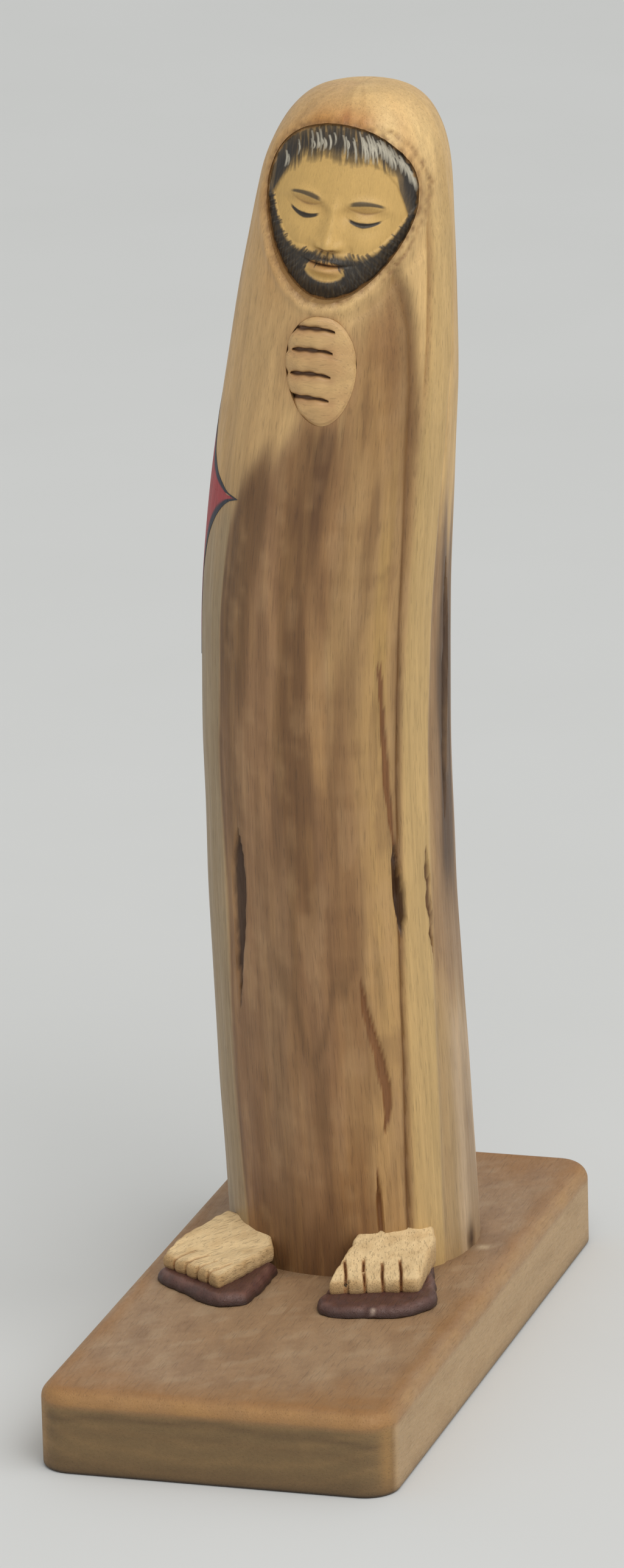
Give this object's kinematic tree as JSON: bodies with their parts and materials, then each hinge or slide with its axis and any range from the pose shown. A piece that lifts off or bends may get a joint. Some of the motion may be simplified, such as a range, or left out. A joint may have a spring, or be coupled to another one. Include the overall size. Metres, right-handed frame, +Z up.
{
  "type": "carved wooden figure",
  "caption": "Hooded, robed standing figure carved from a bent branch, with inlaid face and hand and separate feet on soles, fixed upright on a rounded board.",
  "frame": {"origin": "centre of the board's underside, on the surface it stands on", "axes": "+Z up the figure, +X towards the figure's left hand, -Y the way the figure looks, the board's length along Y"},
  "size_m": [0.08, 0.172, 0.284],
  "materials": {
    "plinth_wood": "satin",
    "branch_wood": "satin",
    "face_wood": "satin",
    "hand_wood": "satin",
    "foot_wood": "matte",
    "sole_wood": "satin",
    "screw_steel": "satin"
  },
  "bodies": {
    "root": {"plinth": "plinth_wood", "robe": "branch_wood", "face": "face_wood", "hand": "hand_wood", "right_foot": "foot_wood", "left_foot": "foot_wood", "right_sole": "sole_wood", "left_sole": "sole_wood", "plinth_screws": "screw_steel"}
  },
  "joints": []
}
